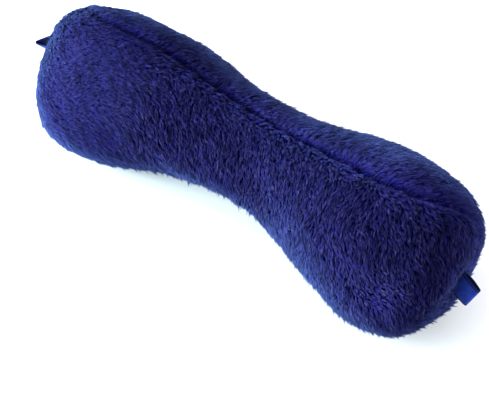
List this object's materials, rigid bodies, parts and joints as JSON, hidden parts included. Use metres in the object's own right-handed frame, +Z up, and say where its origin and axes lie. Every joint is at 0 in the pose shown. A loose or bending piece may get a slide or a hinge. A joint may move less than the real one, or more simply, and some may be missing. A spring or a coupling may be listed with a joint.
{
  "type": "neck pillow",
  "caption": "Bone-shaped plush neck pillow with a narrow waist, seams from end to end and a ribbon loop at each end.",
  "frame": {"origin": "on the surface that the pillow rests on, under the middle of its box", "axes": "+X along the pillow from the left lobe to the right one, +Y towards its back, +Z up"},
  "size_m": [0.4658, 0.1564, 0.1402],
  "materials": {
    "plush": "deep blue long-haired plush, soft and matt with a faint sheen",
    "ribbon": "woven blue ribbon with a slight sheen"
  },
  "bodies": {
    "root": {"pillow": "plush", "loop_left": "ribbon", "loop_right": "ribbon"}
  },
  "joints": []
}
